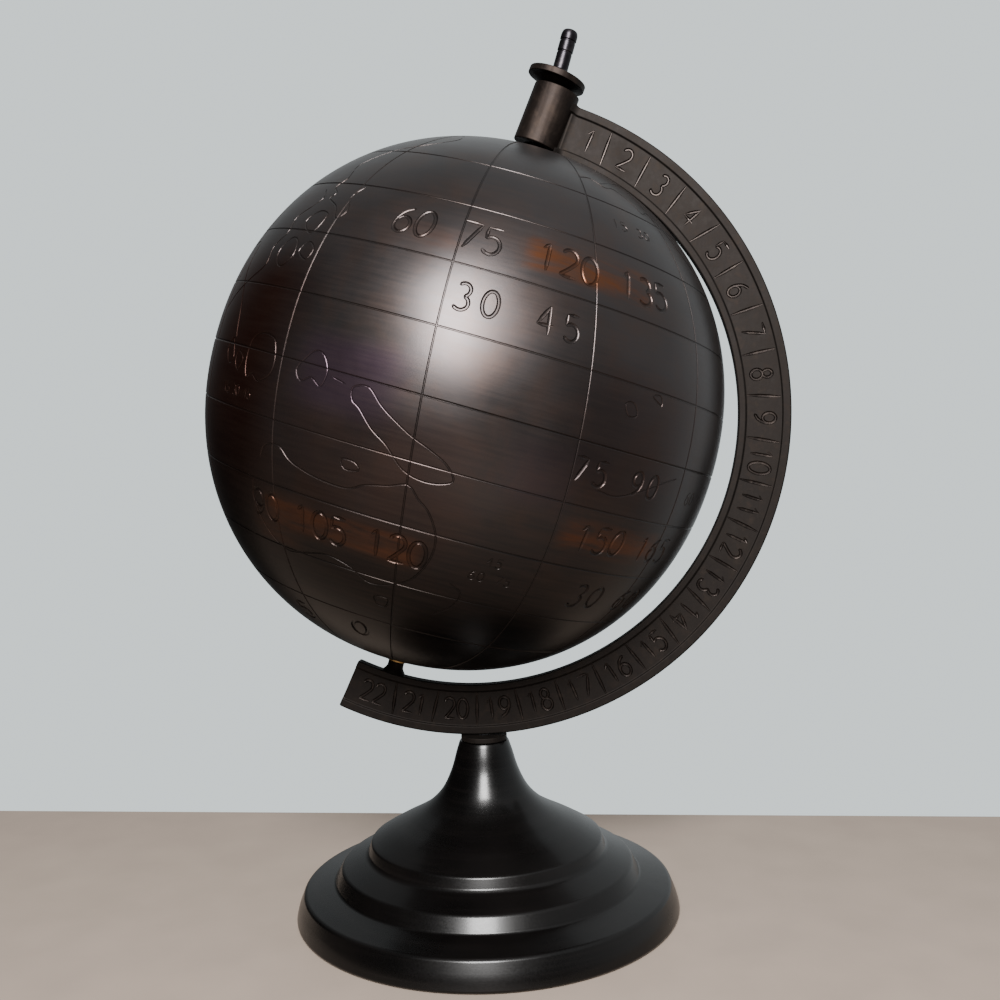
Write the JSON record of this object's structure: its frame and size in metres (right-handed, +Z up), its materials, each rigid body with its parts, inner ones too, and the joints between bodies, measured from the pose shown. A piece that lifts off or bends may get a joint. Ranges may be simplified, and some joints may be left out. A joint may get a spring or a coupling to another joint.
{
  "type": "desktop globe on stand",
  "caption": "Engraved metal globe on a tilted axis inside a flat half-ring meridian arc, with a lift-out upper pivot pin, on a stepped round foot with a trumpet neck.",
  "frame": {"origin": "centre of the felt underside of the foot, on the foot's own axis", "axes": "+Z up; the meridian arc lies in the XZ plane on the +X side of the ball; the spin axis leans 17.3 degrees from +Z towards +X at the top"},
  "size_m": [0.2273, 0.2, 0.3466],
  "materials": {
    "ball_copper": "antique copper plate over cast aluminium, satin, worn warmer in places",
    "arc_bronze": "dark antique bronze, satin, with lighter rubbed edges",
    "collar_bronze": "turned bronze, satin",
    "pin_black": "blackened turned steel",
    "foot_black": "black lacquered casting, satin gloss",
    "brass": "plain turned brass",
    "inner_steel": "zinc-plated steel",
    "hardboard": "pressed hardboard",
    "felt": "dark green felt"
  },
  "bodies": {
    "stand": {"meridian_arc": "arc_bronze", "top_collar": "collar_bronze", "collar_cap": "collar_bronze", "south_pivot_pin": "arc_bronze", "south_thrust_washer": "brass", "arc_seat_disc": "arc_bronze", "foot_casting": "foot_black", "tie_rod": "inner_steel", "tie_washer": "inner_steel", "spring_washer": "inner_steel", "tie_nut": "inner_steel", "base_board": "hardboard", "felt_pad": "felt"},
    "ball": {"north_hemisphere": "ball_copper", "south_hemisphere": "ball_copper", "equator_joining_band": "inner_steel", "north_pole_bush": "collar_bronze", "south_pole_bush": "brass"},
    "pin": {"pivot_pin": "pin_black"}
  },
  "joints": [
    {"name": "globe_spin", "type": "hinge", "parent": "stand", "child": "ball", "pos_m": [-0.0033, 0, 0.2006], "axis": [0.2974, 0, 0.9548], "continuous": true},
    {"name": "pivot_pin_lift", "type": "slide", "parent": "stand", "child": "pin", "axis": [0.2974, 0, 0.9548], "range_m": [0, 0.045]}
  ]
}
